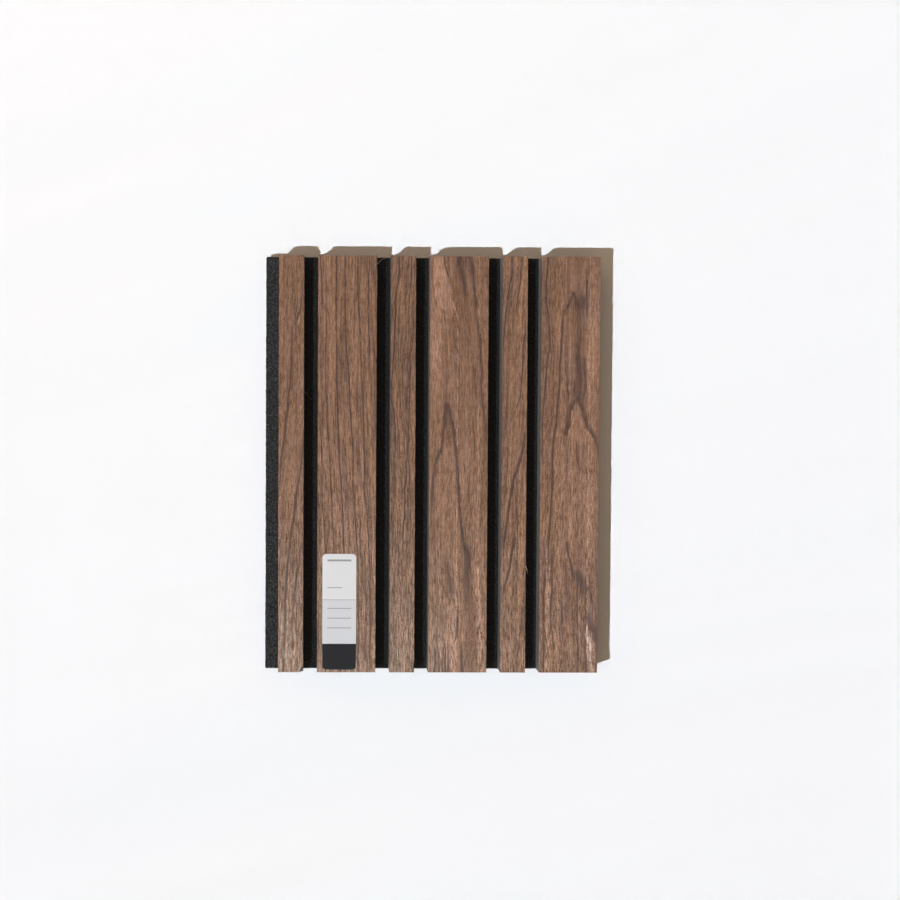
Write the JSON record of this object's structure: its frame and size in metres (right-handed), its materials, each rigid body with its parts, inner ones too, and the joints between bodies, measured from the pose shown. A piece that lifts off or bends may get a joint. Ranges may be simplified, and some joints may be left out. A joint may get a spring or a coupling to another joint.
{
  "type": "acoustic slat wall panel",
  "caption": "Wood-faced slats, narrow and wide in turn, fixed side by side on a dark felt sheet with a bare felt flange along one edge for the next panel.",
  "frame": {"origin": "middle of the felt's back face, on the surface that the panel lies on", "axes": "+X across the slats from the bare felt flange towards the last wide slat, +Y along the slats away from the sticker's end, +Z out of the wooden faces"},
  "size_m": [0.24, 0.3, 0.0212],
  "materials": {
    "black_felt": "needled felt, matt",
    "dark_core": "dark dyed or painted board, matt",
    "walnut_veneer": "walnut face, thin matt varnish",
    "label_paper": "smooth paper sticker"
  },
  "bodies": {
    "root": {"felt_backing": "black_felt", "narrow_slat_1_core": "dark_core", "narrow_slat_1_veneer": "walnut_veneer", "wide_slat_1_core": "dark_core", "wide_slat_1_veneer": "walnut_veneer", "narrow_slat_2_core": "dark_core", "narrow_slat_2_veneer": "walnut_veneer", "wide_slat_2_core": "dark_core", "wide_slat_2_veneer": "walnut_veneer", "narrow_slat_3_core": "dark_core", "narrow_slat_3_veneer": "walnut_veneer", "wide_slat_3_core": "dark_core", "wide_slat_3_veneer": "walnut_veneer", "sample_label": "label_paper"}
  },
  "joints": []
}
